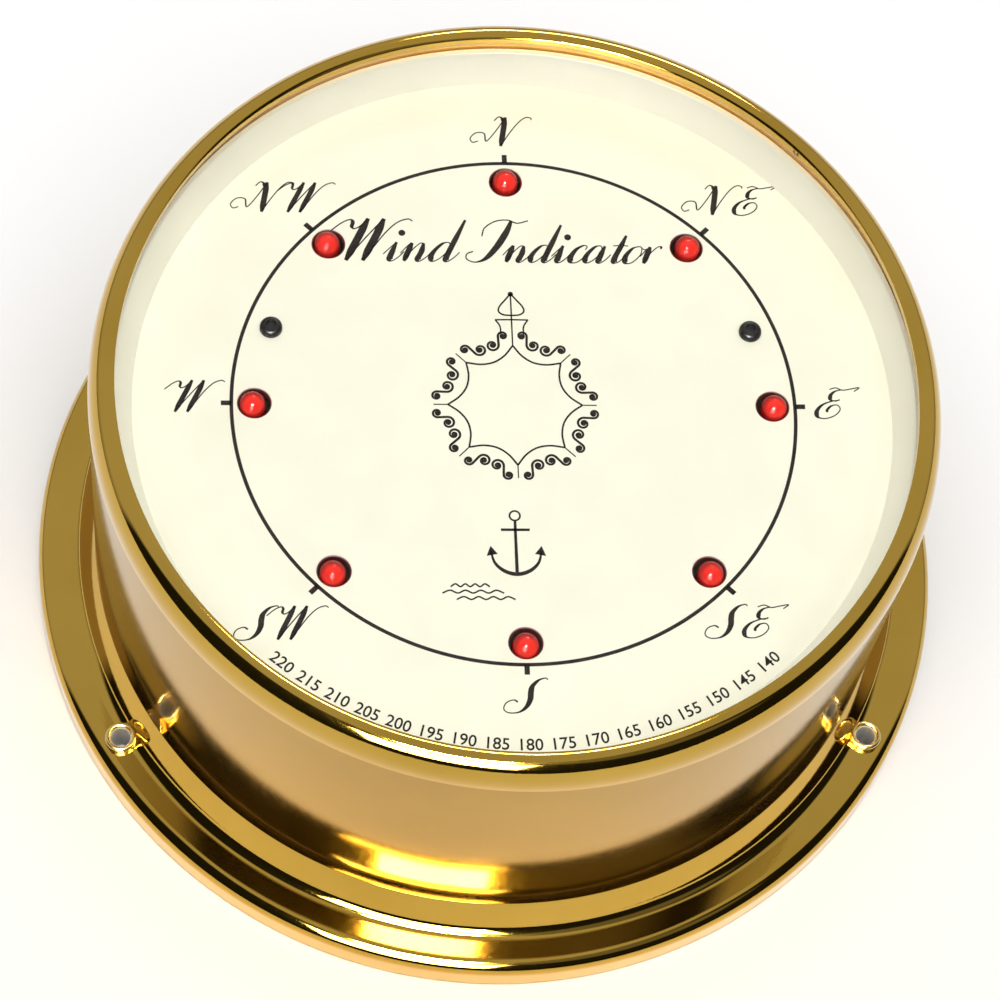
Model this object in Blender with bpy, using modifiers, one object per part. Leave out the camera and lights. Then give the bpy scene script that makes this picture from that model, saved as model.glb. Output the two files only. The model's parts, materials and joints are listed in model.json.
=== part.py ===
"""Marine wind direction indicator in a round brass case, lying on its back (metres, +Z up, +Y north)."""

import math

import bmesh
import bpy
from mathutils import Matrix, Vector

MM = 0.001

# Driving dimensions, in millimetres.
ROUND_STEPS = 80
DRUM_R = 77.5
DRUM_BORE_R = 75.7
SPIGOT_R = 76.9
DRUM_TOP = 70.4
DRUM_BOTTOM = 1.0

FLANGE_R = 88.7
FLANGE_TOP = 7.2
FLANGE_EDGE_R = 2.5
SKIRT_INNER_R = 87.3
NECK_TOP = 13.4
NECK_R = 77.6
NECK_BORE_R = 77.2
FLARE_FOOT_R = 80.3
FLARE_FILLET_R = 2.75

EYELET_CIRCLE_R = 83.3
EYELET_R = 3.0
EYELET_BORE_R = 2.0
EYELET_TOP = 8.7
EYELET_ANGLES = {"north": 90, "southwest": 210, "southeast": 330}

BEZEL_OPENING_R = 72.7
BEZEL_TOP = 77.3
BEZEL_CROWN_R = 74.2
BEZEL_R = 77.6
BEZEL_SHOULDER_Z = 71.3
BEZEL_BOTTOM = 70.7
PLUG_R = 75.4
PLUG_INNER_R = 74.2
PLUG_BOTTOM = 64.5
LIP_UNDERSIDE = 75.6

GLASS_R = 73.9
GLASS_BOTTOM = 72.2
GLASS_TOP = 75.0

DIAL_TOP = 66.0
DIAL_THICKNESS = 1.6
DIAL_R = 73.9
BAND_INNER_R = 69.8
BAND_TOP_R = 73.0
BAND_TOP = 71.9

LED_HOLE_CIRCLE_R = 47.625
LED_HOLE_R = 3.175
LED_CIRCLE_R = 47.95
LED_R = 2.5
LED_RIM_R = 2.9
LED_HEIGHT = 8.6
LED_STAND_OUT = 1.8
COMPASS = {
    "north": 90, "northeast": 45, "east": 0, "southeast": -45,
    "south": -90, "southwest": -135, "west": 180, "northwest": 135,
}

SCREW_X = 44.5
SCREW_Y = 15.6
SCREW_HEAD_R = 2.1
SCREW_SHANK_R = 1.0

BOARD_R = 56.0
BOARD_TOP = 58.9
BOARD_THICKNESS = 1.6
BOARD_BOTTOM = BOARD_TOP - BOARD_THICKNESS

TERMINAL_PITCH = 5.08
TERMINAL_SCREW_R = 1.80
TERMINAL_WELL_R = 1.88
TERMINAL_FACE = 46.9
TERMINAL_Y = -33.0

BACK_PLATE_R = 75.3
BACK_PLATE_BOTTOM = 2.2
BACK_PLATE_TOP = 3.8
LUG_CIRCLE_R = 70.0
LUG_ANGLES = (30, 150, 270)
GROMMET_Y = -44.0


def clear_scene():
    for item in list(bpy.data.objects):
        bpy.data.objects.remove(item, do_unlink=True)


def new_collection(name):
    collection = bpy.data.collections.new(name)
    bpy.context.scene.collection.children.link(collection)
    return collection


def material(name, colour, roughness, metallic=0.0):
    made = bpy.data.materials.new(name)
    made.use_nodes = True
    shader = made.node_tree.nodes["Principled BSDF"]
    shader.inputs["Base Color"].default_value = (*colour, 1.0)
    shader.inputs["Roughness"].default_value = roughness
    shader.inputs["Metallic"].default_value = metallic
    made.diffuse_color = (*colour, 1.0)
    return made


def add_object(name, mesh, collection, look=None, at=(0, 0, 0), turn=0.0):
    made = bpy.data.objects.new(name, mesh)
    made.location = Vector(at) * MM
    made.rotation_euler = (0, 0, math.radians(turn))
    collection.objects.link(made)
    if look is not None:
        mesh.materials.append(look)
    return made


def smooth_rounds(mesh, degrees=35):
    mesh.shade_smooth()
    mesh.set_sharp_from_angle(angle=math.radians(degrees))


def turned(name, profile, collection, look, steps=ROUND_STEPS, at=(0, 0, 0), closed=True):
    """A turned solid. The profile runs down its outer side; a closed one goes back up the inner side."""
    mesh = bpy.data.meshes.new(name)
    points = [(radius * MM, 0, height * MM) for radius, height in profile]
    edges = [(i, i + 1) for i in range(len(points) - 1)]
    if closed:
        edges.append((len(points) - 1, 0))
    mesh.from_pydata(points, edges, [])
    made = add_object(name, mesh, collection, look, at)
    screw = made.modifiers.new("Turn", "SCREW")
    screw.axis = "Z"
    screw.angle = math.tau
    screw.steps = steps
    screw.render_steps = steps
    screw.use_merge_vertices = True
    screw.merge_threshold = 0.00001
    screw.use_smooth_shade = True
    return made


def arc(centre, radius_r, radius_z, start, end, count):
    """Points along an ellipse's arc, with angles in degrees from the +R axis."""
    points = []
    for i in range(count + 1):
        angle = math.radians(start + (end - start) * i / count)
        points.append((centre[0] + radius_r * math.cos(angle), centre[1] + radius_z * math.sin(angle)))
    return points


def cylinders(name, centres, radius, bottom, top, collection, steps=32):
    """A cutter of upright cylinders, all of one radius."""
    mesh = bpy.data.meshes.new(name)
    shape = bmesh.new()
    for x, y in centres:
        place = Matrix.Translation(Vector((x, y, (bottom + top) / 2)) * MM)
        bmesh.ops.create_cone(
            shape, cap_ends=True, segments=steps, radius1=radius * MM, radius2=radius * MM,
            depth=(top - bottom) * MM, matrix=place,
        )
    shape.to_mesh(mesh)
    shape.free()
    made = add_object(name, mesh, collection)
    made.hide_render = True
    made.display_type = "WIRE"
    return made


def boxes(name, centres, size, collection):
    """A cutter of boxes, all of one size."""
    mesh = bpy.data.meshes.new(name)
    shape = bmesh.new()
    for centre in centres:
        place = Matrix.Translation(Vector(centre) * MM) @ Matrix.Diagonal((*[s * MM for s in size], 1))
        bmesh.ops.create_cube(shape, size=1, matrix=place)
    shape.to_mesh(mesh)
    shape.free()
    made = add_object(name, mesh, collection)
    made.hide_render = True
    made.display_type = "WIRE"
    return made


def cut(target, cutter):
    modifier = target.modifiers.new("Cut", "BOOLEAN")
    modifier.operation = "DIFFERENCE"
    modifier.solver = "EXACT"
    modifier.object = cutter


def block(name, size, centre, collection, look, turn=0.0, bevel=0.3):
    mesh = bpy.data.meshes.new(name)
    shape = bmesh.new()
    bmesh.ops.create_cube(shape, size=1, matrix=Matrix.Diagonal((*[s * MM for s in size], 1)))
    shape.to_mesh(mesh)
    shape.free()
    made = add_object(name, mesh, collection, look, centre, turn)
    if bevel:
        edge = made.modifiers.new("Edge", "BEVEL")
        edge.width = bevel * MM
        edge.segments = 2
    return made


def polar(radius, degrees):
    angle = math.radians(degrees)
    return (radius * math.cos(angle), radius * math.sin(angle))


def build_case(parts, cutters):
    brass = material("drum_brass", (0.72, 0.47, 0.16), 0.12, 1.0)
    wall = [
        (DRUM_R, DRUM_TOP), (DRUM_R, NECK_TOP + 0.3), (SPIGOT_R, NECK_TOP + 0.3),
        (SPIGOT_R, DRUM_BOTTOM), (DRUM_BORE_R, DRUM_BOTTOM), (DRUM_BORE_R, DRUM_TOP),
    ]
    turned("drum_case", wall, parts, brass)
    build_base(parts, cutters)
    build_bezel(parts)


def base_profile():
    flare = math.atan2(FLARE_FOOT_R - NECK_R, NECK_TOP - FLANGE_TOP - 1.4)
    lean = math.pi / 2 - flare
    profile = [(NECK_R, NECK_TOP)]
    for i in range(4):
        angle = lean * (1 - i / 3)
        radius = FLARE_FOOT_R + FLARE_FILLET_R * (math.sin(lean) - math.sin(angle))
        profile.append((radius, FLANGE_TOP + FLARE_FILLET_R * (1 - math.cos(angle))))
    edge_centre = (FLANGE_R - FLANGE_EDGE_R, FLANGE_TOP - FLANGE_EDGE_R)
    profile += arc(edge_centre, FLANGE_EDGE_R, FLANGE_EDGE_R, 90, 0, 4)
    profile += [
        (FLANGE_R, 0), (SKIRT_INNER_R, 0), (SKIRT_INNER_R, 4.6), (86.0, 5.8),
        (78.9, 5.8), (78.9, 1.3), (NECK_BORE_R, 1.3), (NECK_BORE_R, NECK_TOP),
    ]
    return profile


def build_base(parts, cutters):
    base = turned("base_flange", base_profile(), parts, material("flange_brass", (0.70, 0.45, 0.15), 0.14, 1.0))
    centres = [polar(EYELET_CIRCLE_R, angle) for angle in EYELET_ANGLES.values()]
    cut(base, cylinders("flange_holes", centres, EYELET_R + 0.3, -2, 16, cutters))
    rim = [(EYELET_BORE_R + 0.25, EYELET_TOP)]
    rim += arc((EYELET_R - 0.45, EYELET_TOP - 0.45), 0.45, 0.45, 90, 0, 2)
    rim += [(EYELET_R, 0.3), (EYELET_BORE_R, 0.3), (EYELET_BORE_R, EYELET_TOP - 0.25)]
    for side, angle in EYELET_ANGLES.items():
        name = "mount_eyelet_" + side
        look = material(name + "_brass", (0.74, 0.50, 0.20), 0.16, 1.0)
        turned(name, rim, parts, look, 24, (*polar(EYELET_CIRCLE_R, angle), 0))


def build_bezel(parts):
    brass = material("bezel_brass", (0.72, 0.47, 0.16), 0.10, 1.0)
    crown = (BEZEL_CROWN_R, BEZEL_SHOULDER_Z)
    profile = [(BEZEL_OPENING_R, BEZEL_TOP - 0.5), (73.4, BEZEL_TOP - 0.1)]
    profile += arc(crown, BEZEL_R - BEZEL_CROWN_R, BEZEL_TOP - BEZEL_SHOULDER_Z, 90, 0, 6)
    profile += [
        (BEZEL_R, BEZEL_BOTTOM), (PLUG_R, BEZEL_BOTTOM), (PLUG_R, PLUG_BOTTOM),
        (PLUG_INNER_R, PLUG_BOTTOM), (PLUG_INNER_R, LIP_UNDERSIDE), (BEZEL_OPENING_R, LIP_UNDERSIDE),
    ]
    turned("bezel_ring", profile, parts, brass)
    pane = [(0, GLASS_TOP), (GLASS_R, GLASS_TOP), (GLASS_R, GLASS_BOTTOM), (0, GLASS_BOTTOM)]
    turned("glass", pane, parts, material("clear_glass", (0.95, 0.97, 0.96), 0.03), closed=False)
    seal = [(GLASS_R, LIP_UNDERSIDE - 0.1), (GLASS_R, GLASS_TOP + 0.1)]
    seal += [(73.0, GLASS_TOP + 0.1), (73.0, LIP_UNDERSIDE - 0.1)]
    turned("glass_gasket", seal, parts, material("gasket_rubber", (0.30, 0.28, 0.25), 0.6))


def build_dial(parts, cutters):
    cream = material("dial_cream", (0.93, 0.91, 0.78), 0.45)
    under = DIAL_TOP - DIAL_THICKNESS
    disc = [(0, DIAL_TOP), (DIAL_R, DIAL_TOP), (DIAL_R, under), (0, under)]
    dial = turned("dial_plate", disc, parts, cream, closed=False)
    holes = [polar(LED_HOLE_CIRCLE_R, angle) for angle in COMPASS.values()]
    cut(dial, cylinders("led_holes", holes, LED_HOLE_R, under - 1, DIAL_TOP + 1, cutters))
    screws = [(-SCREW_X, SCREW_Y), (SCREW_X, SCREW_Y)]
    cut(dial, cylinders("dial_screw_holes", screws, 1.2, under - 1, DIAL_TOP + 1, cutters, 20))

    band = [
        (DIAL_R, BAND_TOP), (DIAL_R, DIAL_TOP + 0.1), (BAND_INNER_R, DIAL_TOP + 0.1),
        (BAND_TOP_R, BAND_TOP),
    ]
    turned("dial_spacer_ring", band, parts, material("spacer_cream", (0.88, 0.86, 0.72), 0.5))
    seat = [(75.3, under - 0.3), (75.3, under - 3.0), (69.5, under - 3.0), (69.5, under - 0.3)]
    turned("dial_seat_ring", seat, parts, material("seat_brass", (0.66, 0.46, 0.20), 0.35, 1.0), 72)
    build_leds(parts)
    build_dial_screws(parts)


def build_leds(parts):
    top = DIAL_TOP + LED_STAND_OUT
    base = top - LED_HEIGHT
    profile = [(LED_R * math.sin(math.radians(a)), top - LED_R * (1 - math.cos(math.radians(a))))
               for a in range(0, 91, 18)]
    profile += [(LED_R, base + 1), (LED_RIM_R, base + 1), (LED_RIM_R, base), (0, base)]
    for side, angle in COMPASS.items():
        look = material("led_red_" + side, (0.80, 0.05, 0.04), 0.15)
        turned("led_" + side, profile, parts, look, 16, (*polar(LED_CIRCLE_R, angle), 0), closed=False)


def build_dial_screws(parts):
    seat = DIAL_TOP + 0.1
    end = BOARD_BOTTOM - 3.2
    head = [(0, seat + 1.3), (1.1, seat + 1.2), (1.8, seat + 0.8), (SCREW_HEAD_R, seat + 0.2)]
    head += [(SCREW_HEAD_R, seat), (SCREW_SHANK_R, seat), (SCREW_SHANK_R, end), (0, end)]
    under = DIAL_TOP - DIAL_THICKNESS
    tube = [(2.4, under - 0.1), (2.4, BOARD_TOP + 0.1), (1.25, BOARD_TOP + 0.1), (1.25, under - 0.1)]
    nut_top = BOARD_BOTTOM - 0.1
    nut = [(2.3, nut_top), (2.3, nut_top - 1.8), (1.1, nut_top - 1.8), (1.1, nut_top)]
    for side, x in (("west", -SCREW_X), ("east", SCREW_X)):
        black = material("black_screw_" + side, (0.02, 0.02, 0.02), 0.35)
        turned("dial_screw_" + side, head, parts, black, 16, (x, SCREW_Y, 0), closed=False)
        brass = material("standoff_brass_" + side, (0.68, 0.50, 0.24), 0.3, 1.0)
        turned("dial_standoff_" + side, tube, parts, brass, 16, (x, SCREW_Y, 0))
        steel = material("nut_steel_" + side, (0.60, 0.60, 0.60), 0.3, 1.0)
        turned("board_nut_" + side, nut, parts, steel, 16, (x, SCREW_Y, 0))


def build_board(parts, cutters):
    green = material("board_green", (0.02, 0.20, 0.08), 0.4)
    disc = [(0, BOARD_TOP), (BOARD_R, BOARD_TOP), (BOARD_R, BOARD_BOTTOM), (0, BOARD_BOTTOM)]
    board = turned("led_board", disc, parts, green, 72, closed=False)
    screws = [(-SCREW_X, SCREW_Y), (SCREW_X, SCREW_Y)]
    cut(board, cylinders("board_holes", screws, 1.3, BOARD_BOTTOM - 1, BOARD_TOP + 1, cutters, 20))

    under = BOARD_BOTTOM - 0.3
    black = (0.03, 0.03, 0.035)
    block("decoder_chip", (19.3, 6.4, 3.3), (-14, 14, under - 1.65), parts, material("decoder_plastic", black, 0.5))
    block("driver_chip", (22.9, 6.4, 3.3), (14, 14, under - 1.65), parts, material("driver_plastic", black, 0.5))
    network = material("network_epoxy", (0.55, 0.35, 0.05), 0.4)
    block("resistor_network", (22.9, 2.5, 5.0), (14, 2, under - 2.5), parts, network)
    block("voltage_regulator", (10.2, 9.2, 4.4), (-16, -6, under - 2.2), parts, material("regulator_plastic", black, 0.5))
    can = [(0, under), (4.0, under), (4.0, under - 11.6), (3.6, under - 12.0), (0, under - 12.0)]
    sleeve = material("capacitor_sleeve", (0.03, 0.05, 0.20), 0.35)
    turned("filter_capacitor", can, parts, sleeve, 20, (-32, -6, 0), closed=False)
    build_terminals(parts, cutters, under)


def build_terminals(parts, cutters, under):
    height = under - TERMINAL_FACE
    middle = (0, TERMINAL_Y, (under + TERMINAL_FACE) / 2)
    size = (4 * TERMINAL_PITCH + 0.6, 9.0, height)
    plastic = material("terminal_plastic", (0.03, 0.22, 0.10), 0.45)
    holder = block("terminal_block", size, middle, parts, plastic, bevel=0)
    places = [(TERMINAL_PITCH * (i - 1.5), TERMINAL_Y) for i in range(4)]
    wells = cylinders("terminal_wells", places, TERMINAL_WELL_R, TERMINAL_FACE - 1, TERMINAL_FACE + 6.4, cutters, 20)
    cut(holder, wells)
    mouths = [(x, TERMINAL_Y - 4.0, TERMINAL_FACE + 7.0) for x, _ in places]
    cut(holder, boxes("wire_mouths", mouths, (3.2, 6.0, 3.0), cutters))
    top = TERMINAL_FACE + 5.0
    pin = [(0, top), (TERMINAL_SCREW_R, top), (TERMINAL_SCREW_R, TERMINAL_FACE + 0.7)]
    pin += [(TERMINAL_SCREW_R - 0.25, TERMINAL_FACE + 0.45), (0, TERMINAL_FACE + 0.45)]
    for i, (x, y) in enumerate(places, 1):
        steel = material(f"clamp_steel_{i}", (0.62, 0.62, 0.60), 0.3, 1.0)
        screw = turned(f"terminal_screw_{i}", pin, parts, steel, 20, (x, y, 0), closed=False)
        slot = boxes(f"screw_slot_{i}", [(x, y, TERMINAL_FACE + 0.6)], (5.0, 0.6, 1.6), cutters)
        cut(screw, slot)


def build_back(parts, cutters):
    plate = [
        (0, BACK_PLATE_TOP), (BACK_PLATE_R, BACK_PLATE_TOP),
        (BACK_PLATE_R, BACK_PLATE_BOTTOM), (0, BACK_PLATE_BOTTOM),
    ]
    sheet = turned("back_plate", plate, parts, material("back_sheet", (0.55, 0.55, 0.56), 0.35, 1.0), closed=False)
    places = [polar(LUG_CIRCLE_R, angle) for angle in LUG_ANGLES]
    cut(sheet, cylinders("back_screw_holes", places, 1.7, 0, 6, cutters, 20))
    cut(sheet, cylinders("grommet_hole", [(0, GROMMET_Y)], 5.3, 0, 6, cutters))

    for i, angle in enumerate(LUG_ANGLES, 1):
        x, y = polar(LUG_CIRCLE_R, angle)
        brass = material(f"lug_brass_{i}", (0.62, 0.44, 0.20), 0.4, 1.0)
        lug = block(f"back_lug_{i}", (9.0, 9.0, 7.0), (x, y, BACK_PLATE_TOP + 0.3 + 3.5), parts, brass, angle, 0)
        hole = cylinders(f"lug_hole_{i}", [(x, y)], 1.6, BACK_PLATE_TOP - 1, BACK_PLATE_TOP + 9, cutters, 20)
        cut(lug, hole)
        build_back_screw(parts, i, x, y)

    rubber = material("grommet_rubber", (0.02, 0.02, 0.02), 0.7)
    spool = [
        (7.0, BACK_PLATE_TOP + 1.6), (7.0, BACK_PLATE_TOP + 0.3), (5.0, BACK_PLATE_TOP + 0.3),
        (5.0, BACK_PLATE_BOTTOM - 0.3), (7.0, BACK_PLATE_BOTTOM - 0.3), (7.0, 0.6),
        (3.2, 0.6), (3.2, BACK_PLATE_TOP + 1.6),
    ]
    turned("cable_grommet", spool, parts, rubber, 24, (0, GROMMET_Y, 0))


def build_back_screw(parts, number, x, y):
    seat = BACK_PLATE_BOTTOM - 0.1
    tip = BACK_PLATE_TOP + 6.8
    pin = [(0, tip), (1.35, tip), (1.35, seat), (2.8, seat), (2.8, 0.9), (2.2, 0.5), (0, 0.5)]
    steel = material(f"back_screw_steel_{number}", (0.62, 0.62, 0.62), 0.3, 1.0)
    turned(f"back_screw_{number}", pin, parts, steel, 16, (x, y, 0), closed=False)


def main():
    clear_scene()
    parts = new_collection("marine_wind_direction_indicator")
    cutters = new_collection("cutters")
    build_case(parts, cutters)
    build_dial(parts, cutters)
    build_board(parts, cutters)
    build_back(parts, cutters)


main()
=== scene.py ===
"""Looks of the marine wind direction indicator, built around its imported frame."""

import json
import math

import bmesh
import bpy
from mathutils import Matrix, Vector


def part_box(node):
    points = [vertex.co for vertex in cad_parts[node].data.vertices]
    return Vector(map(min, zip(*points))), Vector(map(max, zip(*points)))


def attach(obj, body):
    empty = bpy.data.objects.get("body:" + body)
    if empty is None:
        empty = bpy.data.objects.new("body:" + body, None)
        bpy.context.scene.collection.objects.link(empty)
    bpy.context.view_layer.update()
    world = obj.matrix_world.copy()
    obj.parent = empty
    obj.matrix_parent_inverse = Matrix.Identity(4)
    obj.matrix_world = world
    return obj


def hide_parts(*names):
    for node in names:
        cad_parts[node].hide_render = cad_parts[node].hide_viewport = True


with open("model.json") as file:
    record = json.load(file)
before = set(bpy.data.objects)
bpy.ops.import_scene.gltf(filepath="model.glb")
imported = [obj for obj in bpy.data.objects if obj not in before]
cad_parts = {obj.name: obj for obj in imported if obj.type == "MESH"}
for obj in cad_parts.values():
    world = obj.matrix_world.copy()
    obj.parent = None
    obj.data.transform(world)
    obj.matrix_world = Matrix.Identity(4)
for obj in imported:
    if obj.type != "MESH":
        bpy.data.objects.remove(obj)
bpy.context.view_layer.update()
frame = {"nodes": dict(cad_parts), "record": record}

MM = 0.001
TURN = 192


# ---------------------------------------------------------------- materials


def new_material(name):
    """A material with its node tree and its main shader."""
    made = bpy.data.materials.new(name)
    made.use_nodes = True
    tree = made.node_tree
    return made, tree, tree.nodes["Principled BSDF"]


def node(tree, kind, **values):
    """A node, with its inputs or its settings given by name."""
    made = tree.nodes.new(kind)
    for key, value in values.items():
        if key in made.inputs:
            made.inputs[key].default_value = value
        else:
            setattr(made, key, value)
    return made


def link(tree, source, target):
    tree.links.new(source, target)


def ramp(tree, source, stops):
    """A colour from a number, by stops of (place, colour or grey)."""
    made = tree.nodes.new("ShaderNodeValToRGB")
    elements = made.color_ramp.elements
    while len(elements) < len(stops):
        elements.new(0.5)
    for element, (place, colour) in zip(elements, stops):
        element.position = place
        element.color = (*colour, 1.0) if isinstance(colour, tuple) else (colour, colour, colour, 1.0)
    link(tree, source, made.inputs["Fac"])
    return made.outputs["Color"]


def remap(tree, source, low, high, to_low, to_high):
    made = node(tree, "ShaderNodeMapRange")
    made.inputs["From Min"].default_value = low
    made.inputs["From Max"].default_value = high
    made.inputs["To Min"].default_value = to_low
    made.inputs["To Max"].default_value = to_high
    link(tree, source, made.inputs["Value"])
    return made.outputs["Result"]


def maths(tree, operation, a, b=None):
    made = node(tree, "ShaderNodeMath", operation=operation)
    for socket, value in zip(made.inputs, (a, b)):
        if value is None:
            continue
        if isinstance(value, (int, float)):
            socket.default_value = value
        else:
            link(tree, value, socket)
    return made.outputs[0]


def noise(tree, vector, scale, detail=3.0, roughness=0.5):
    made = node(tree, "ShaderNodeTexNoise", Scale=scale, Detail=detail, Roughness=roughness)
    link(tree, vector, made.inputs["Vector"])
    return made.outputs["Fac"]


def object_place(tree):
    return node(tree, "ShaderNodeTexCoord").outputs["Object"]


def round_place(tree):
    """A place in (radius, way round, height), stretched along the way round, as turning marks run."""
    split = node(tree, "ShaderNodeSeparateXYZ")
    link(tree, object_place(tree), split.inputs[0])
    x, y, z = split.outputs
    radius = maths(tree, "SQRT", maths(tree, "ADD", maths(tree, "MULTIPLY", x, x), maths(tree, "MULTIPLY", y, y)))
    angle = maths(tree, "ARCTAN2", y, x)
    join = node(tree, "ShaderNodeCombineXYZ")
    link(tree, radius, join.inputs[0])
    link(tree, maths(tree, "MULTIPLY", angle, 0.02), join.inputs[1])
    link(tree, z, join.inputs[2])
    return join.outputs[0]


def add_bump(tree, shader, height, strength, distance):
    bump = node(tree, "ShaderNodeBump")
    bump.inputs["Strength"].default_value = strength
    bump.inputs["Distance"].default_value = distance
    link(tree, height, bump.inputs["Height"])
    link(tree, bump.outputs["Normal"], shader.inputs["Normal"])


def brass(name, rough, wave, lines, deep=(0.500, 0.300, 0.028), light=(0.570, 0.355, 0.048), coat=0.5):
    """Lacquered polished brass: soft tarnish clouds, faint turning lines, a little grain in the gloss."""
    made, tree, shader = new_material(name)
    place = object_place(tree)
    cloud = noise(tree, place, 28.0, 4.0)
    link(tree, ramp(tree, cloud, [(0.3, deep), (0.7, light)]), shader.inputs["Base Color"])
    shader.inputs["Metallic"].default_value = 1.0
    shader.inputs["Coat Weight"].default_value = coat
    shader.inputs["Coat Roughness"].default_value = 0.03
    grain = noise(tree, place, 900.0, 3.0, 0.6)
    turned_marks = noise(tree, round_place(tree), 4000.0, 2.0)
    mixed = maths(tree, "ADD", maths(tree, "MULTIPLY", grain, 0.5), maths(tree, "MULTIPLY", cloud, 0.5))
    link(tree, remap(tree, mixed, 0.3, 0.7, rough * 0.7, rough * 1.5), shader.inputs["Roughness"])
    slow = noise(tree, place, 60.0, 2.0)
    marks = maths(tree, "MULTIPLY", turned_marks, lines * 0.1)
    height = maths(tree, "ADD", maths(tree, "MULTIPLY", slow, wave), marks)
    add_bump(tree, shader, height, 0.25, 0.0003)
    return made


def simple(name, dark, light, rough, metallic=0.0, scale=300.0, bump=0.1, spread=0.06):
    """A moulded, painted or plated surface with fine mottling in colour, gloss and height."""
    made, tree, shader = new_material(name)
    place = object_place(tree)
    mottle = noise(tree, place, scale, 4.0)
    link(tree, ramp(tree, mottle, [(0.3, dark), (0.7, light)]), shader.inputs["Base Color"])
    link(tree, remap(tree, mottle, 0.3, 0.7, rough - spread, rough + spread), shader.inputs["Roughness"])
    shader.inputs["Metallic"].default_value = metallic
    add_bump(tree, shader, noise(tree, place, scale * 6, 2.0), bump, 0.00005)
    return made


def led_red(name, centre):
    """Red lens plastic with painted light: painted shade makes its upper half deep red, and a painted glow lights its
    lower half, where a clear dome would gather light.
    """
    made, tree, shader = new_material(name)
    split = node(tree, "ShaderNodeSeparateXYZ")
    link(tree, object_place(tree), split.inputs[0])
    x, y, _ = split.outputs
    dx = maths(tree, "DIVIDE", maths(tree, "SUBTRACT", x, centre[0]), LED_R * MM)
    dy = maths(tree, "DIVIDE", maths(tree, "SUBTRACT", y, centre[1]), LED_R * MM)
    low = maths(tree, "ADD", dy, 0.45)
    painted_glow_distance = maths(tree, "SQRT", maths(tree, "ADD", maths(tree, "MULTIPLY", dx, dx), maths(tree, "MULTIPLY", low, low)))
    cloud = maths(tree, "MULTIPLY", maths(tree, "SUBTRACT", noise(tree, object_place(tree), 800.0), 0.5), 0.12)
    half = maths(tree, "MULTIPLY", maths(tree, "ADD", painted_glow_distance, cloud), 0.5)
    # Painted light: the bright red near a point south of the lens centre is a painted glow, and the deep red further
    # off is painted shade.
    tone = ramp(tree, half, [
        (0.28, (0.97, 0.034, 0.022)), (0.37, (0.66, 0.020, 0.013)), (0.50, (0.30, 0.010, 0.007)),
        (0.75, (0.20, 0.008, 0.005)),
    ])
    link(tree, tone, shader.inputs["Base Color"])
    link(tree, remap(tree, cloud, -0.06, 0.06, 0.05, 0.12), shader.inputs["Roughness"])
    shader.inputs["Specular IOR Level"].default_value = 0.2
    return made


def clear_glass(name):
    """Cover glass: what passes through it is untouched, and it mirrors a little, more at a low angle."""
    made, tree, shader = new_material(name)
    tree.nodes.remove(shader)
    out = tree.nodes["Material Output"]
    clear = node(tree, "ShaderNodeBsdfTransparent")
    mirror = node(tree, "ShaderNodeBsdfGlossy")
    smear = noise(tree, object_place(tree), 40.0, 3.0)
    link(tree, remap(tree, smear, 0.3, 0.7, 0.005, 0.03), mirror.inputs["Roughness"])
    mirror.inputs["Color"].default_value = (1, 1, 1, 1)
    fresnel = node(tree, "ShaderNodeFresnel")
    fresnel.inputs["IOR"].default_value = 1.12
    mix = node(tree, "ShaderNodeMixShader")
    link(tree, maths(tree, "MINIMUM", fresnel.outputs[0], 0.15), mix.inputs[0])
    link(tree, clear.outputs[0], mix.inputs[1])
    link(tree, mirror.outputs[0], mix.inputs[2])
    link(tree, mix.outputs[0], out.inputs["Surface"])
    return made


# ---------------------------------------------------------------- shapes


def finish_mesh(name, shape, look, sharp=30.0):
    """Turns a bmesh into a piece with smooth rounds and crisp edges."""
    bmesh.ops.remove_doubles(shape, verts=shape.verts, dist=1e-7)
    bmesh.ops.recalc_face_normals(shape, faces=shape.faces)
    mesh = bpy.data.meshes.new(name)
    shape.to_mesh(mesh)
    shape.free()
    mesh.shade_smooth()
    mesh.set_sharp_from_angle(angle=math.radians(sharp))
    mesh.materials.append(look)
    made = bpy.data.objects.new(name, mesh)
    bpy.context.scene.collection.objects.link(made)
    return made


def with_supports(profile, closed, inset=0.25):
    """Adds points near the ends of long straight runs, so that smooth shading keeps the runs flat."""
    count = len(profile)
    out = []
    for i in range(count if closed else count - 1):
        a, b = profile[i], profile[(i + 1) % count]
        length = math.hypot(b[0] - a[0], b[1] - a[1])
        out.append(a)
        if length > 4 * inset:
            t = inset / length
            out.append((a[0] + (b[0] - a[0]) * t, a[1] + (b[1] - a[1]) * t))
            out.append((b[0] + (a[0] - b[0]) * t, b[1] + (a[1] - b[1]) * t))
    if not closed:
        out.append(profile[-1])
    return out


def lathe(name, profile, look, steps=TURN, centre=(0.0, 0.0), closed=True):
    """A turned piece about an upright axis, from a profile of (radius, height) in millimetres."""
    profile = with_supports(profile, closed)
    shape = bmesh.new()
    rings = []
    for i in range(steps):
        angle = math.tau * i / steps
        c, s = math.cos(angle), math.sin(angle)
        rings.append([
            shape.verts.new(((centre[0] + r * c) * MM, (centre[1] + r * s) * MM, z * MM)) for r, z in profile
        ])
    spans = len(profile) if closed else len(profile) - 1
    for i in range(steps):
        here, there = rings[i], rings[(i + 1) % steps]
        for k in range(spans):
            j = (k + 1) % len(profile)
            shape.faces.new((here[k], there[k], there[j], here[j]))
    bmesh.ops.remove_doubles(shape, verts=shape.verts, dist=1e-6)
    return finish_mesh(name, shape, look)


def arc(centre, radius_r, radius_z, start, end, count):
    """Points of a profile along an ellipse, from one angle in degrees to another."""
    points = []
    for i in range(count + 1):
        a = math.radians(start + (end - start) * i / count)
        points.append((centre[0] + radius_r * math.cos(a), centre[1] + radius_z * math.sin(a)))
    return points


def polar(radius, degrees):
    a = math.radians(degrees)
    return (radius * math.cos(a), radius * math.sin(a))


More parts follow.
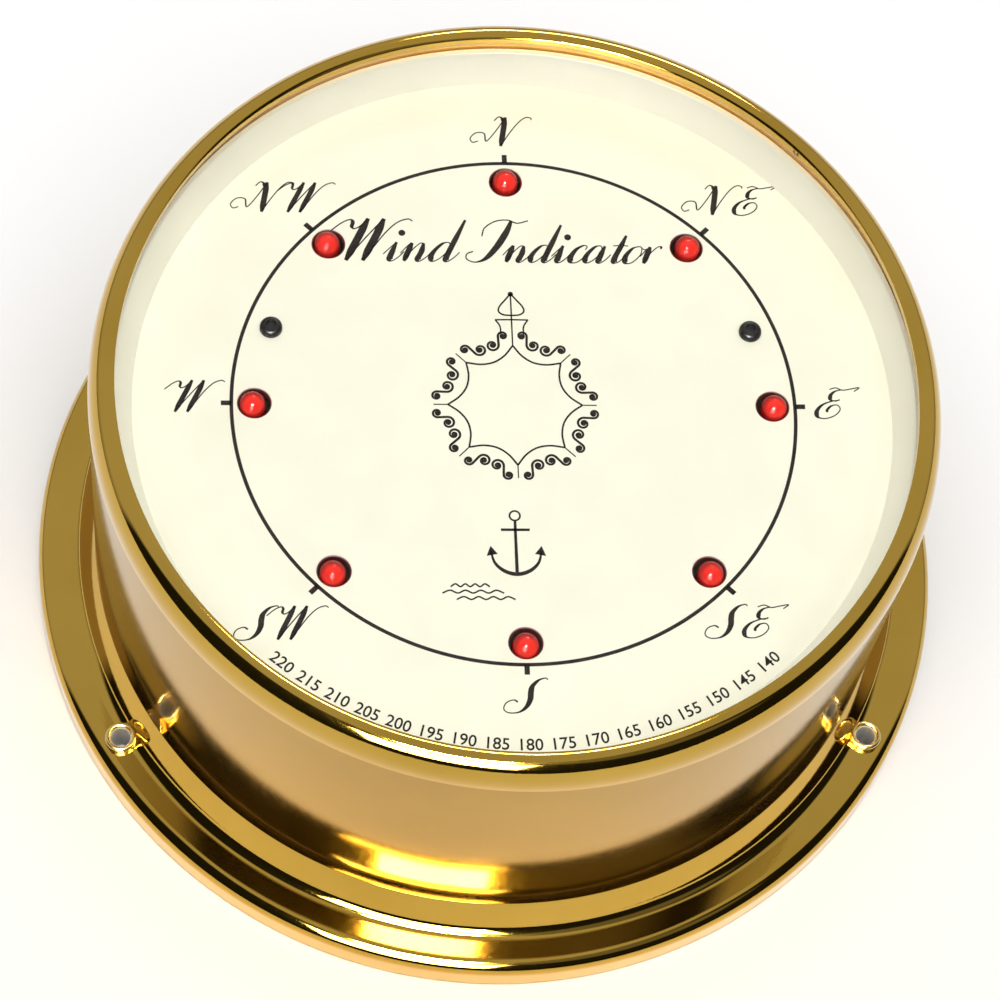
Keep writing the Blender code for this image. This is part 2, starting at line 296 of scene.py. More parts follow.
def place(piece, body, slot, *nodes):
    """Puts a piece on a body, and hides the CAD nodes that it replaces. The slot is not used."""
    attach(piece, body)
    if nodes:
        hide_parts(*nodes)
    return piece


def size_of(name):
    """A node's box in millimetres: (low corner, high corner)."""
    low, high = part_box(name)
    return [v / MM for v in low], [v / MM for v in high]


# ---------------------------------------------------------------- case


# Radii and heights in millimetres.
FLANGE_R, _, NECK_TOP = size_of("base_flange")[1]
FLANGE_TOP = 7.2
SKIRT_BORE = 87.3
NECK_BORE = 77.2
DRUM_R = size_of("drum_case")[1][0]
SPIGOT_R = 76.9
DRUM_BORE = 75.7
BEZEL_R, _, BEZEL_TOP = size_of("bezel_ring")[1]
PLUG_R = 75.4
PLUG_BORE = 74.2
SEAM = 70.55
DIAL_TOP = size_of("dial_plate")[1][2]
EYELETS = {"mount_eyelet_north": 90, "mount_eyelet_southwest": 210, "mount_eyelet_southeast": 330}
EYELET_CIRCLE = 83.3
EYELET_R = 3.0
EYELET_BORE = 2.0


def make_drum():
    look = brass(
        "drum_brass", 0.085, 0.35, 0.25, deep=(0.335, 0.198, 0.010), light=(0.395, 0.236, 0.017), coat=0.05
    )
    profile = [
        (DRUM_R, SEAM - 0.06), (DRUM_R, NECK_TOP + 0.05), (SPIGOT_R, NECK_TOP + 0.05),
        (SPIGOT_R, 1.0), (DRUM_BORE, 1.0), (DRUM_BORE, SEAM - 0.06),
    ]
    place(lathe("drum_skin", profile, look), "case", "polished_brass", "drum_case")


def make_base():
    """The base flange, with its flared neck, a rolled edge and three drilled screw holes."""
    look = brass("flange_brass", rough=0.05, wave=0.20, lines=0.30)
    neck_r, flare_foot, fillet, edge = 77.55, 80.3, 2.75, 2.5
    lean = math.atan2(NECK_TOP - FLANGE_TOP - 1.4, flare_foot - neck_r)
    profile = [(neck_r, NECK_TOP)]
    steps = 9
    for i in range(steps + 1):
        a = lean * (1 - i / steps)
        profile.append((
            flare_foot + fillet * (math.sin(lean) - math.sin(a)), FLANGE_TOP + fillet * (1 - math.cos(a))
        ))
    profile += arc((FLANGE_R - edge, FLANGE_TOP - edge), edge, edge, 90, 0, 10)
    profile += [
        (FLANGE_R, 0.0), (SKIRT_BORE, 0.0), (SKIRT_BORE, 4.6), (86.0, 5.8), (78.9, 5.8), (78.9, 1.3),
        (NECK_BORE, 1.3), (NECK_BORE, NECK_TOP),
    ]
    base = lathe("flange_skin", profile, look, 256)
    drill = bmesh.new()
    hole_r = EYELET_R + 0.02
    for angle in EYELETS.values():
        x, y = polar(EYELET_CIRCLE, angle)
        bmesh.ops.create_cone(
            drill, cap_ends=True, segments=48, radius1=hole_r * MM, radius2=hole_r * MM, depth=20 * MM,
            matrix=Matrix.Translation(Vector((x, y, 6.0)) * MM),
        )
    mesh = bpy.data.meshes.new("drill")
    drill.to_mesh(mesh)
    drill.free()
    cutter = bpy.data.objects.new("drill", mesh)
    bpy.context.scene.collection.objects.link(cutter)
    cut = base.modifiers.new("cut", "BOOLEAN")
    cut.object = cutter
    cut.solver = "EXACT"
    graph = bpy.context.evaluated_depsgraph_get()
    done = bpy.data.meshes.new_from_object(base.evaluated_get(graph))
    base.modifiers.clear()
    base.data = done
    base.data.set_sharp_from_angle(angle=math.radians(30))
    bpy.data.objects.remove(cutter, do_unlink=True)
    place(base, "case", "polished_brass", "base_flange")


def make_eyelets():
    """The raised rims of the screw holes, each with a grey lining that paints the shade seen down the hole."""
    for name, angle in EYELETS.items():
        look = brass(name + "_brass", 0.17, 0.1, 0.05, deep=(0.70, 0.51, 0.17), light=(0.77, 0.58, 0.23))
        top = size_of(name)[1][2]
        round_r = (EYELET_R - EYELET_BORE) / 2
        profile = arc((EYELET_R - round_r, top - round_r), round_r, round_r, 180, 0, 14)
        profile += [(EYELET_R, 0.3), (EYELET_BORE, 0.3)]
        piece = lathe(name + "_skin", profile, look, 48, polar(EYELET_CIRCLE, angle))
        place(piece, "case", "polished_brass", name)
        # Painted shade: the grey lining in each bore stands in for the shaded view down the hole.
        outer, inner = EYELET_BORE - 0.02, EYELET_BORE - 0.12
        bore = [(outer, top - 0.6), (outer, 0.35), (inner, 0.35), (inner, top - 0.6)]
        grey = simple(name + "_grey", (0.40, 0.39, 0.37), (0.52, 0.51, 0.49), 0.6, scale=500.0)
        place(lathe(name + "_bore", bore, grey, 48, polar(EYELET_CIRCLE, angle)), "case", "polished_brass")


def make_bezel():
    """The ring round the glass, with a rounded shoulder and a plug that enters the case."""
    look = brass("bezel_brass", rough=0.06, wave=0.15, lines=0.35)
    profile = [(72.7, 75.6), (72.7, BEZEL_TOP - 0.62)]
    profile += arc((73.0, BEZEL_TOP - 0.55), 0.3, 0.28, 180, 118, 3)
    profile += [(73.5, BEZEL_TOP - 0.07)]
    profile += arc((74.2, 71.3), BEZEL_R - 74.2, BEZEL_TOP - 71.3, 90, 0, 26)
    profile += [
        (BEZEL_R, SEAM + 0.12), (BEZEL_R - 0.12, SEAM), (PLUG_R, SEAM), (PLUG_R, 64.5), (PLUG_BORE, 64.5),
        (PLUG_BORE, 75.6),
    ]
    profile.reverse()
    place(lathe("bezel_skin", profile, look, 256), "bezel", "polished_brass", "bezel_ring")


# ---------------------------------------------------------------- dial


def make_dial_parts():
    cream = simple("dial_enamel", (0.888, 0.872, 0.690), (0.905, 0.890, 0.712), 0.42, scale=90.0, bump=0.04)
    frame["nodes"]["dial_plate"].data.materials.clear()
    frame["nodes"]["dial_plate"].data.materials.append(cream)
    edge = simple("spacer_enamel", (0.925, 0.908, 0.755), (0.945, 0.930, 0.780), 0.5, scale=90.0, bump=0.05)
    low, high = size_of("dial_spacer_ring")
    band = [(high[0], high[2]), (high[0], low[2] - 0.08), (69.8, low[2] - 0.08), (69.86, low[2] + 0.05)]
    band += [(72.9, high[2] - 0.1), (73.05, high[2])]
    place(lathe("spacer_skin", band, edge, 256), "case", "cream_dial", "dial_spacer_ring")


LED_R = 2.5
LED_CIRCLE = 47.625
LEDS = {
    "led_north": 90, "led_northeast": 45, "led_east": 0, "led_southeast": -45,
    "led_south": -90, "led_southwest": -135, "led_west": 180, "led_northwest": 135,
}


def make_leds():
    """The domed lamps, and thin dark red rings inside their holes that paint the shade there, tinted by the lamps'
    red glow.
    """
    for name in LEDS:
        low, high = size_of(name)
        centre = ((low[0] + high[0]) / 2, (low[1] + high[1]) / 2)
        top, base = high[2], low[2]
        look = led_red(name + "_lens", (centre[0] * MM, centre[1] * MM))
        profile = [(0.0, top)]
        for degrees in range(8, 90, 8):
            a = math.radians(degrees)
            profile.append((LED_R * math.sin(a), top - LED_R * (1 - math.cos(a))))
        profile += [(LED_R, top - LED_R), (LED_R, base + 1.0), (2.9, base + 1.0), (2.9, base), (0.0, base)]
        piece = lathe(name + "_lens", profile, look, 48, centre, closed=False)
        place(piece, "case", "red_led", name)
    # Painted shade: the rings in the lamp holes are dark red for the shade inside the holes and the lamps' red glow
    # on it.
    shade = simple("hole_shade", (0.16, 0.006, 0.004), (0.24, 0.010, 0.007), 0.45, scale=500.0)
    under = size_of("dial_plate")[0][2]
    for name, angle in LEDS.items():
        ring = [(3.12, DIAL_TOP - 0.08), (3.12, under + 0.02), (2.98, under + 0.02), (2.98, DIAL_TOP - 0.12)]
        piece = lathe(name + "_well_shade", ring, shade, 48, polar(LED_CIRCLE, angle))
        place(piece, "case", "red_led")


def make_dial_screws():
    for name in ("dial_screw_west", "dial_screw_east"):
        low, high = size_of(name)
        x, y = (low[0] + high[0]) / 2, (low[1] + high[1]) / 2
        look = simple(name + "_black", (0.005, 0.004, 0.003), (0.012, 0.009, 0.006), 0.35, scale=700.0)
        look.node_tree.nodes["Principled BSDF"].inputs["Specular IOR Level"].default_value = 0.25
        top = high[2]
        seat = DIAL_TOP + 0.01
        profile = [(0.0, top - 0.55), (0.95, top - 0.55), (1.0, top - 0.02)]
        profile += [(1.15, top)] + arc((1.3, seat + 0.35), 0.8, top - seat - 0.37, 80, 0, 8)
        profile += [(2.1, seat), (1.0, seat), (1.0, low[2]), (0.0, low[2])]
        piece = lathe(name + "_head", profile, look, 48, (x, y), closed=False)
        place(piece, "case", "black_screw", name)


# ---------------------------------------------------------------- ink

INK_BOTTOM = DIAL_TOP - 0.01
INK_TOP = DIAL_TOP + 0.035
ink_look = simple("dial_ink", (0.010, 0.004, 0.002), (0.020, 0.008, 0.003), 0.45, scale=400.0, bump=0.05)
ink_look.node_tree.nodes["Principled BSDF"].inputs["Specular IOR Level"].default_value = 0.15


def through(points, per_span=10):
    """A smooth Catmull-Rom curve through the points."""
    pts = [Vector(p) for p in points]
    pts = [2 * pts[0] - pts[1], *pts, 2 * pts[-1] - pts[-2]]
    out = []
    for i in range(1, len(pts) - 2):
        a, b, c, d = pts[i - 1 : i + 3]
        for k in range(per_span):
            t = k / per_span
            out.append(0.5 * (
                2 * b + (c - a) * t + (2 * a - 5 * b + 4 * c - d) * t * t + (3 * b - a - 3 * c + d) * t ** 3
            ))
    out.append(pts[-2])
    return out


class Ink:
    """Gathers flat pen strokes and dots into one thin raised mesh."""

    def __init__(self):
        self.shape = bmesh.new()

    def prism(self, outline):
        low = [self.shape.verts.new((x * MM, y * MM, INK_BOTTOM * MM)) for x, y in outline]
        high = [self.shape.verts.new((x * MM, y * MM, INK_TOP * MM)) for x, y in outline]
        count = len(outline)
        self.shape.faces.new(high)
        self.shape.faces.new(low[::-1])
        for i in range(count):
            j = (i + 1) % count
            self.shape.faces.new((low[i], low[j], high[j], high[i]))

    def ribbon(self, points, widths):
        """A closed strip along the points, with its own width at each."""
        left, right = [], []
        last = len(points) - 1
        for i, point in enumerate(points):
            way = points[min(i + 1, last)] - points[max(i - 1, 0)]
            if way.length < 1e-9:
                way = Vector((1, 0))
            side = Vector((-way.y, way.x)).normalized() * widths[i] / 2
            left.append(point + side)
            right.append(point - side)
        verts = []
        for a, b in zip(left, right):
            verts.append([
                self.shape.verts.new((p.x * MM, p.y * MM, z * MM))
                for p, z in ((a, INK_TOP), (b, INK_TOP), (b, INK_BOTTOM), (a, INK_BOTTOM))
            ])
        for here, there in zip(verts, verts[1:]):
            for k in range(4):
                j = (k + 1) % 4
                self.shape.faces.new((here[k], here[j], there[j], there[k]))
        self.shape.faces.new(verts[0][::-1])
        self.shape.faces.new(verts[-1])

    def line(self, points, width, per_span=10):
        curve = through(points, per_span)
        self.ribbon(curve, [width] * len(curve))

    def dot(self, x, y, radius, steps=20):
        self.prism([(x + radius * math.cos(math.tau * i / steps), y + radius * math.sin(math.tau * i / steps))
                    for i in range(steps)])

    def pen(self, points, origin, scale, thin, thick, weight=1.0, slant=0.42):
        """A pointed-pen stroke: thin going up or across, thick going down, from points on a unit letter."""
        curve = []
        for p in through(points):
            curve.append(Vector((origin[0] + (p.x + slant * p.y) * scale, origin[1] + p.y * scale)))
        widths = []
        last = len(curve) - 1
        for i in range(len(curve)):
            way = curve[min(i + 1, last)] - curve[max(i - 1, 0)]
            down = max(0.0, -way.y / max(way.length, 1e-9))
            taper = min(1.0, 0.3 + 3.5 * i / last, 0.3 + 3.5 * (last - i) / last)
            widths.append(thin + (thick * weight - thin) * down ** 2.2 * taper if weight else thin)
        for _ in range(4):
            widths = [
                (widths[max(i - 1, 0)] + 2 * widths[i] + widths[min(i + 1, last)]) / 4 for i in range(last + 1)
            ]
        self.ribbon(curve, widths)

    def piece(self, name):
        made = finish_mesh(name, self.shape, ink_look, 40)
        return place(made, "case", "cream_dial")


# Letters in a unit box, before the slant: a list of (stroke points, weight), then the letter's width.
CAPITALS = {
    "N": ([
        ([(-0.34, 0.16), (-0.48, 0.12), (-0.60, 0.26), (-0.50, 0.44), (-0.26, 0.42), (-0.10, 0.16), (0.04, 0.50),
          (0.14, 0.98)], 0.25),
        ([(-0.14, 0.86), (-0.06, 0.99), (0.06, 0.94), (0.10, 0.84)], 0.6),
        ([(0.14, 0.98), (0.22, 0.66), (0.31, 0.30), (0.38, 0.00)], 1.0),
        ([(0.38, 0.00), (0.46, 0.42), (0.58, 0.80), (0.72, 0.98), (0.88, 0.97), (0.92, 0.90)], 0.0),
    ], 1.0),
    "W": ([
        ([(-0.46, 0.70), (-0.32, 0.88), (-0.18, 0.96), (-0.10, 0.90), (-0.08, 0.80), (-0.02, 0.74)], 0.45),
        ([(-0.02, 0.74), (0.08, 0.80), (0.18, 0.99)], 0.0),
        ([(0.18, 0.99), (0.16, 0.64), (0.14, 0.32), (0.12, 0.00)], 1.0),
        ([(0.12, 0.00), (0.24, 0.36), (0.38, 0.72), (0.50, 0.99)], 0.0),
        ([(0.50, 0.99), (0.50, 0.66), (0.48, 0.32), (0.46, 0.00)], 1.0),
        ([(0.46, 0.00), (0.56, 0.34), (0.66, 0.66), (0.80, 0.90), (0.98, 0.99), (1.10, 0.94)], 0.0),
    ], 1.35),
    "E": ([
        ([(0.78, 0.86), (0.88, 0.98), (0.66, 0.94), (0.44, 0.90), (0.22, 0.97), (0.06, 0.92)], 0.0),
        ([(0.40, 0.91), (0.24, 0.86), (0.16, 0.74), (0.20, 0.60), (0.36, 0.55), (0.46, 0.60)], 0.75),
        ([(0.46, 0.58), (0.24, 0.54), (0.02, 0.42), (-0.06, 0.22), (0.04, 0.04), (0.28, 0.00), (0.50, 0.10),
          (0.58, 0.28), (0.46, 0.42), (0.30, 0.40), (0.22, 0.28), (0.24, 0.20)], 0.8),
    ], 0.9),
    "S": ([
        ([(0.62, 0.94), (0.54, 0.99), (0.38, 0.93), (0.28, 0.76), (0.30, 0.58), (0.36, 0.38), (0.34, 0.16),
          (0.20, 0.01), (-0.06, -0.01), (-0.24, 0.10), (-0.24, 0.28), (-0.08, 0.36), (0.06, 0.30)], 0.95),
    ], 0.85),
    "I": ([
        ([(-0.24, 0.60), (-0.26, 0.80), (-0.10, 0.96), (0.14, 0.99), (0.36, 0.92), (0.56, 0.98)], 0.2),
        ([(0.22, 0.96), (0.22, 0.70), (0.16, 0.36), (0.04, 0.08), (-0.14, -0.01), (-0.34, 0.06), (-0.38, 0.18),
          (-0.28, 0.24)], 1.0),
    ], 0.58),
}

SMALL = {
    "i": ([([(-0.10, 0.16), (0.00, 0.34), (0.06, 0.44)], 0.0),
           ([(0.06, 0.44), (0.06, 0.22), (0.07, 0.05), (0.14, 0.00), (0.24, 0.10), (0.30, 0.22)], 1.0)], 0.34),
    "n": ([([(-0.10, 0.18), (-0.02, 0.36), (0.04, 0.43)], 0.0),
           ([(0.04, 0.43), (0.04, 0.20), (0.04, 0.00)], 1.0),
           ([(0.04, 0.02), (0.10, 0.24), (0.20, 0.41), (0.28, 0.42)], 0.0),
           ([(0.28, 0.42), (0.31, 0.24), (0.30, 0.06), (0.36, 0.00), (0.46, 0.10), (0.52, 0.22)], 1.0)], 0.55),
    "d": ([([(0.30, 0.34), (0.24, 0.44), (0.12, 0.42), (0.02, 0.26), (0.00, 0.10), (0.08, 0.00), (0.20, 0.08),
             (0.30, 0.26)], 0.9),
           ([(0.36, 0.98), (0.34, 0.60), (0.32, 0.26), (0.32, 0.06), (0.38, 0.00), (0.48, 0.10), (0.54, 0.22)], 1.0)],
          0.55),
    "a": ([([(0.30, 0.34), (0.24, 0.44), (0.12, 0.42), (0.02, 0.26), (0.00, 0.10), (0.08, 0.00), (0.20, 0.08),
             (0.30, 0.26)], 0.9),
           ([(0.33, 0.44), (0.32, 0.24), (0.32, 0.06), (0.38, 0.00), (0.48, 0.10), (0.54, 0.22)], 1.0)], 0.55),
    "r": ([([(-0.10, 0.18), (-0.02, 0.36), (0.04, 0.43)], 0.0),
           ([(0.04, 0.43), (0.04, 0.20), (0.04, 0.00)], 1.0),
           ([(0.04, 0.04), (0.10, 0.26), (0.20, 0.42), (0.28, 0.44), (0.30, 0.38)], 0.4)], 0.36),
    "c": ([([(0.26, 0.34), (0.27, 0.42), (0.18, 0.45), (0.05, 0.34), (0.00, 0.14), (0.06, 0.01), (0.20, 0.02),
             (0.34, 0.20)], 0.95)], 0.34),
    "t": ([([(0.16, 0.72), (0.14, 0.44), (0.11, 0.16), (0.14, 0.01), (0.24, 0.04), (0.34, 0.20)], 1.0),
           ([(-0.04, 0.45), (0.12, 0.46), (0.30, 0.45)], 0.0)], 0.34),
    "o": ([([(0.20, 0.44), (0.08, 0.38), (0.00, 0.18), (0.06, 0.01), (0.20, 0.02), (0.32, 0.22), (0.28, 0.41),
             (0.18, 0.44)], 0.9),
           ([(0.26, 0.42), (0.36, 0.36), (0.46, 0.40)], 0.0)], 0.43),
}


def write(ink, letters, table, x, y, scale, thin, thick):
    """Writes the letters from x along the line y, and gives the x that follows them."""
    for letter in letters:
        strokes, width = table[letter]
        for points, weight in strokes:
            ink.pen(points, (x, y), scale, thin, thick, weight)
        if letter == "i":
            ink.dot(x + (0.08 + 0.42 * 0.66) * scale, y + 0.66 * scale, thick * 0.52)
        x += width * scale
    return x


def make_compass_ink():
    """The circle round the lamps with a tick at each, and the compass points in script."""
    ink = Ink()
    radius, tick_end = 51.8, 53.7
    circle = [Vector((radius * math.cos(math.tau * i / 240), radius * math.sin(math.tau * i / 240)))
              for i in range(241)]
    ink.ribbon(circle, [0.68] * len(circle))
    for angle in LEDS.values():
        inner, outer = Vector(polar(radius, angle)), Vector(polar(tick_end, angle))
        ink.ribbon([inner, outer], [0.95, 0.95])
    ink.piece("compass_circle")

    letters = Ink()
    cap, thin, thick = 6.6, 0.21, 1.12
    for text, x, y in (
        ("N", -3.1, 55.7), ("NE", 36.6, 41.0), ("E", 55.6, -2.4), ("SE", 33.4, -46.6),
        ("S", -3.1, -60.9), ("SW", -50.2, -47.0), ("W", -62.8, -1.9), ("NW", -48.6, 40.5),
    ):
        write(letters, text, CAPITALS, x, y, cap, thin, thick)
    letters.piece("compass_letters")


def make_title():
    """A generic title in script that says what the instrument shows."""
    ink = Ink()
    baseline, scale, narrow = 30.2, 9.2, 8.35
    capital_pen, small_pen = (0.24, 1.75), (0.20, 1.25)
    x = write(ink, "W", CAPITALS, -31.6, baseline, scale, *capital_pen)
    write(ink, "ind", SMALL, x - 4.0, baseline, scale, *small_pen)
    x = write(ink, "I", CAPITALS, -5.0, baseline, scale, *capital_pen)
    write(ink, "ndicator", SMALL, x - 1.2, baseline, narrow, *small_pen)
    ink.piece("script_title")


def make_wreath():
    """A ring of eight bowed arcs with spurs, scrolls outside them and a plain finial on top."""
    ink = Ink()
    cusp, bow = 12.35, 9.55
    for k in range(8):
        start, end = 45.0 * k, 45.0 * (k + 1)
        points = [polar(cusp, start), polar(10.35, start + 9), polar(bow, start + 22.5),
                  polar(10.35, end - 9), polar(cusp, end)]
        ink.line(points, 0.35)
        if k != 2:
            ink.line([polar(cusp - 0.2, start), polar(cusp + 1.4, start), polar(15.0, start)], 0.22)
        for side in (1, -1):
            scroll(ink, start + 22.5, side)
    finial(ink)
    ink.piece("scroll_wreath")


def scroll(ink, middle, side):
    """Half of a sector's scrollwork: a large and a small curl, turning opposite ways along one tangent."""
    big, small = Vector(polar(12.95, middle + side * 5.6)), Vector(polar(14.5, middle + side * 15.4))
    big_r, small_r, eye_r = 1.18, 0.88, 0.36
    across = small - big
    lean = math.acos((big_r + small_r) / across.length)
    touch = math.atan2(across.y, across.x) + side * lean
    points = []
    for i in range(31):
        t = i / 30
        angle = touch + side * (1 - t) * 1.30 * math.tau
        points.append(big + Vector((math.cos(angle), math.sin(angle))) * (eye_r + (big_r - eye_r) * t))
    for i in range(27):
        t = i / 26
        angle = touch + math.pi + side * t * 1.10 * math.tau
        points.append(small + Vector((math.cos(angle), math.sin(angle))) * (small_r - (small_r - eye_r) * t))
    last = len(points) - 1
    ink.ribbon(points, [0.29 + 0.17 * math.sin(math.pi * i / last) for i in range(last + 1)])
    ink.dot(big.x, big.y, 0.50)
    ink.dot(small.x, small.y, 0.46)


def finial(ink):
    """A spade on a short stem, pointing north."""
    ink.line([(0, 12.3), (0, 16.5), (0, 20.5), (0, 23.4)], 0.28)
    ink.line([(-3.1, 17.8), (0, 17.85), (3.1, 17.8)], 0.30)
    for side in (1, -1):
        ink.line([(3.0 * side, 17.8), (2.2 * side, 16.4), (2.1 * side, 14.7)], 0.30)
        ink.line([(0, 23.4), (1.0 * side, 22.1), (2.1 * side, 20.7), (2.35 * side, 19.6), (1.5 * side, 18.9),
                  (0, 18.75)], 0.32)
    ink.dot(0, 23.3, 0.5)


def make_anchor():
    """A plain anchor over three short waves, in place of a picture."""
    ink = Ink()
    ink.ribbon([Vector((-1.0, -23.6)), Vector((-1.0, -33.8))], [0.5, 0.62])
    ring = [Vector((-1.0 + 0.95 * math.cos(math.tau * i / 24), -22.6 + 0.95 * math.sin(math.tau * i / 24)))
            for i in range(25)]
    ink.ribbon(ring, [0.34] * 25)
    ink.ribbon([Vector((-3.6, -25.4)), Vector((1.6, -25.4))], [0.5, 0.5])
    arms = through([(-5.6, -29.6), (-4.9, -32.0), (-3.2, -33.6), (-1.0, -34.2), (1.2, -33.6), (2.9, -32.0),
                    (3.6, -29.6)])
    ink.ribbon(arms, [0.3 + 0.45 * math.sin(math.pi * i / (len(arms) - 1)) for i in range(len(arms))])
    for side in (-1, 1):
        tip = -1.0 + 4.6 * side
        ink.prism([(tip, -28.6), (tip + 0.75 * side, -30.6), (tip - 1.25 * side, -30.2)][::side])
    for row, (x0, x1) in enumerate(((-13.0, -6.0), (-14.5, -3.5), (-12.0, -1.5))):
        y = -36.4 - 1.25 * row
        count = 9
        wave = [(x0 + (x1 - x0) * i / (count - 1), y + (0.28 if i % 2 else -0.28)) for i in range(count)]
        ink.line(wave, 0.30, per_span=5)
    ink.piece("anchor_mark")


def make_numbers():
    """Bearings in degrees along the lower arc, from 220 by the southwest to 140 by the southeast."""
    shape = bmesh.new()
    radius = 66.0
    for k in range(17):
        bearing = 220 - 5 * k
        text = bpy.data.curves.new("bearing", "FONT")
        text.body = str(bearing)
        text.size = 3.1 * MM
        text.align_x = "CENTER"
        text.extrude = (INK_TOP - INK_BOTTOM) / 2 * MM
        text.offset = 0.00003
        text.resolution_u = 4
        holder = bpy.data.objects.new("bearing", text)
        bpy.context.scene.collection.objects.link(holder)
        graph = bpy.context.evaluated_depsgraph_get()
        mesh = bpy.data.meshes.new_from_object(holder.evaluated_get(graph))
        angle = math.radians(90 - bearing)
        away = Vector((math.cos(angle), math.sin(angle), 0))
        spin = Matrix.Rotation(angle + math.pi / 2, 4, "Z")
        at = away * (radius + 2.0) * MM + Vector((0, 0, (INK_TOP + INK_BOTTOM) / 2 * MM))
        mesh.transform(Matrix.Translation(at) @ spin)
        shape.from_mesh(mesh)
        bpy.data.objects.remove(holder, do_unlink=True)
        bpy.data.meshes.remove(mesh)
    place(finish_mesh("bearing_numbers", shape, ink_look, 40), "case", "cream_dial")


# ---------------------------------------------------------------- inside and back


def dress_nodes():
    """Gives every CAD node that still shows its own detailed material."""
    steel = simple("zinc_steel", (0.50, 0.50, 0.49), (0.66, 0.66, 0.64), 0.28, 1.0, 500.0)
    looks = {
        "inner_brass": simple("machined_brass", (0.52, 0.34, 0.11), (0.64, 0.43, 0.16), 0.30, 1.0, 400.0),
        "gasket_rubber": simple("gasket_grey", (0.24, 0.22, 0.19), (0.33, 0.30, 0.26), 0.6, 0.0, 300.0),
        "steel_fastener": steel,
        "circuit_board": simple("solder_mask", (0.012, 0.13, 0.05), (0.022, 0.20, 0.08), 0.35, 0.0, 250.0),
        "chip_plastic": simple("epoxy_black", (0.018, 0.018, 0.02), (0.035, 0.035, 0.04), 0.5, 0.0, 900.0),
        "network_epoxy": simple("dipped_epoxy", (0.40, 0.24, 0.03), (0.55, 0.34, 0.06), 0.3, 0.0, 500.0),
        "capacitor_sleeve": simple("sleeve_blue", (0.02, 0.035, 0.14), (0.035, 0.06, 0.22), 0.35, 0.0, 400.0),
        "terminal_plastic": simple("terminal_green", (0.02, 0.16, 0.07), (0.035, 0.23, 0.10), 0.45, 0.0, 700.0),
        "back_sheet": simple("sheet_aluminium", (0.50, 0.50, 0.51), (0.60, 0.60, 0.61), 0.38, 1.0, 500.0),
        "grommet_rubber": simple("rubber_black", (0.012, 0.012, 0.012), (0.03, 0.03, 0.03), 0.7, 0.0, 600.0),
        "cover_glass": clear_glass("cover_glass"),
    }
    for entry in frame["record"]["subparts"]:
        if entry["material_slot"] in looks:
            mesh = frame["nodes"][entry["node"]].data
            mesh.materials.clear()
            mesh.materials.append(looks[entry["material_slot"]])


# ---------------------------------------------------------------- studio


def make_floor():
    made, tree, shader = new_material("studio_white")
    tone = noise(tree, object_place(tree), 3.0, 2.0)
    link(tree, ramp(tree, tone, [(0.3, 0.97), (0.7, 0.985)]), shader.inputs["Base Color"])
    shader.inputs["Roughness"].default_value = 0.9
    shader.inputs["Specular IOR Level"].default_value = 0.0
    shape = bmesh.new()
    bmesh.ops.create_grid(shape, x_segments=8, y_segments=8, size=6.0, matrix=Matrix.Translation((0, 0, -0.0002)))
    finish_mesh("studio_floor", shape, made)


def make_world():
    """A plain studio: grey walls to the north, a grey ceiling, and a dark end of the room to the south.

    The picture's own backdrop is plain and pale from every side.
    """
    world = bpy.data.worlds.new("studio")
    bpy.context.scene.world = world
    world.use_nodes = True
    tree = world.node_tree
    background = tree.nodes["Background"]
    way = node(tree, "ShaderNodeTexCoord").outputs["Generated"]
    split = node(tree, "ShaderNodeSeparateXYZ")
    link(tree, way, split.inputs[0])
    north = remap(tree, split.outputs[1], 0.02, 0.10, 0.0, 1.0)
    ceiling = remap(tree, split.outputs[2], 0.945, 0.970, 0.0, 1.0)
    dim_way = Vector((math.cos(math.radians(-50)) * 0.5, math.sin(math.radians(-50)) * 0.5, 0.866))
    dot = node(tree, "ShaderNodeVectorMath", operation="DOT_PRODUCT")
    link(tree, way, dot.inputs[0])
    dot.inputs[1].default_value = dim_way
    dim = remap(tree, dot.outputs["Value"], 0.95, 0.98, 0.0, 0.32)
    low = remap(tree, split.outputs[2], 0.0, 0.35, 0.45, 1.0)
    grey = maths(tree, "MAXIMUM", maths(tree, "MULTIPLY", north, low), maths(tree, "MAXIMUM", ceiling, dim))
    backdrop = maths(tree, "MULTIPLY", node(tree, "ShaderNodeLightPath").outputs["Is Camera Ray"], 0.9)
    room = ramp(tree, grey, [(0.0, 0.018), (1.0, 0.62)])
    link(tree, maths(tree, "MAXIMUM", room, backdrop), background.inputs["Color"])


def aim(holder, target=(0, 0, 0)):
    """Turns a lamp to face the target."""
    way = Vector(target) - holder.location
    holder.rotation_euler = way.to_track_quat("-Z", "Y").to_euler()


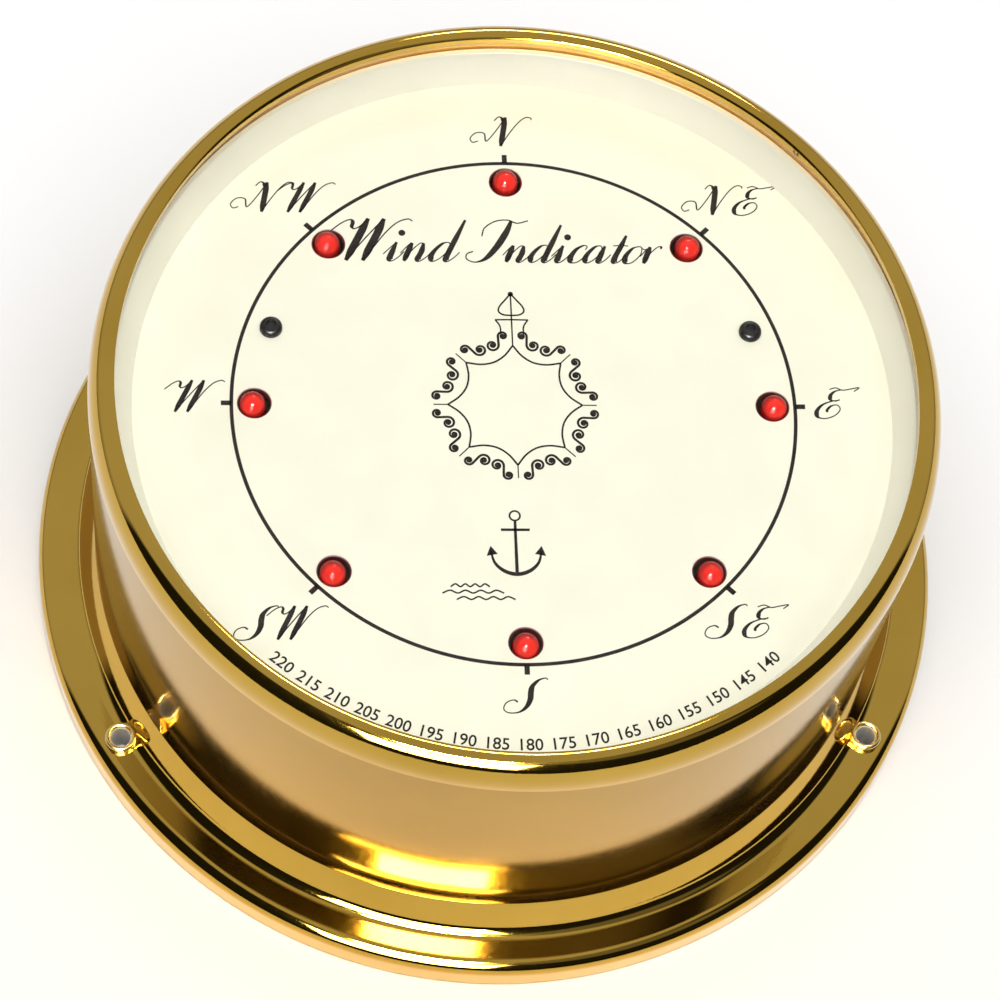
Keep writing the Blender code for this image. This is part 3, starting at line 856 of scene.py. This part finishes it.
def softbox(name, azimuth, elevation, distance, width, height, radiance):
    """A rectangular lamp, seen only by the glossy surfaces. Azimuth is counted from east towards north."""
    lamp = bpy.data.lights.new(name, "AREA")
    lamp.shape = "RECTANGLE"
    lamp.size, lamp.size_y = width, height
    lamp.energy = radiance * width * height * math.pi
    holder = bpy.data.objects.new(name, lamp)
    a, e = math.radians(azimuth), math.radians(elevation)
    holder.location = Vector((math.cos(a) * math.cos(e), math.sin(a) * math.cos(e), math.sin(e))) * distance
    aim(holder, (0, 0, 0.05))
    holder.visible_diffuse = False
    bpy.context.scene.collection.objects.link(holder)
    return holder


def make_lights():
    """Three lamps for the brass to mirror, and a soft fill from overhead for everything else."""
    softbox("front_lamp", -100, 65, 0.95, 0.22, 0.10, 450.0)
    softbox("front_panel", -103, 38, 1.00, 0.50, 0.58, 20.0)
    softbox("back_lamp", 78, 41, 1.10, 0.34, 0.12, 25.0)
    fill = bpy.data.lights.new("overhead_fill", "SUN")
    fill.energy = 2.25
    fill.angle = math.radians(70)
    holder = bpy.data.objects.new("overhead_fill", fill)
    holder.location = (0.05, -0.30, 1.5)
    aim(holder)
    holder.visible_glossy = False
    bpy.context.scene.collection.objects.link(holder)


def make_camera():
    """The camera stands to the south, high over the dial, as the studio picture was taken."""
    lens = bpy.data.cameras.new("camera")
    lens.sensor_width = 36.0
    lens.lens = 121.1
    holder = bpy.data.objects.new("camera", lens)
    bpy.context.scene.collection.objects.link(holder)
    azimuth, elevation, roll = math.radians(-11.88), math.radians(63.14), math.radians(10.87)
    distance, target = 0.6065, Vector((-0.00354, -0.01944, DIAL_TOP * MM))
    back = Vector((math.sin(azimuth) * math.cos(elevation), -math.cos(azimuth) * math.cos(elevation),
                   math.sin(elevation)))
    right = Vector((math.cos(azimuth), math.sin(azimuth), 0.0))
    up = back.cross(right)
    right_rolled = right * math.cos(roll) + up * math.sin(roll)
    up_rolled = up * math.cos(roll) - right * math.sin(roll)
    at = back * distance + target
    turn = Matrix((right_rolled, up_rolled, back)).transposed().to_4x4()
    holder.matrix_world = Matrix.Translation(at) @ turn
    lens.clip_start, lens.clip_end = 0.01, 50.0
    bpy.context.scene.camera = holder


make_drum()
make_base()
make_eyelets()
make_bezel()
make_dial_parts()
make_leds()
make_dial_screws()
make_compass_ink()
make_title()
make_wreath()
make_anchor()
make_numbers()
dress_nodes()
make_floor()
make_world()
make_lights()
make_camera()
bpy.context.scene.view_settings.view_transform = "Standard"
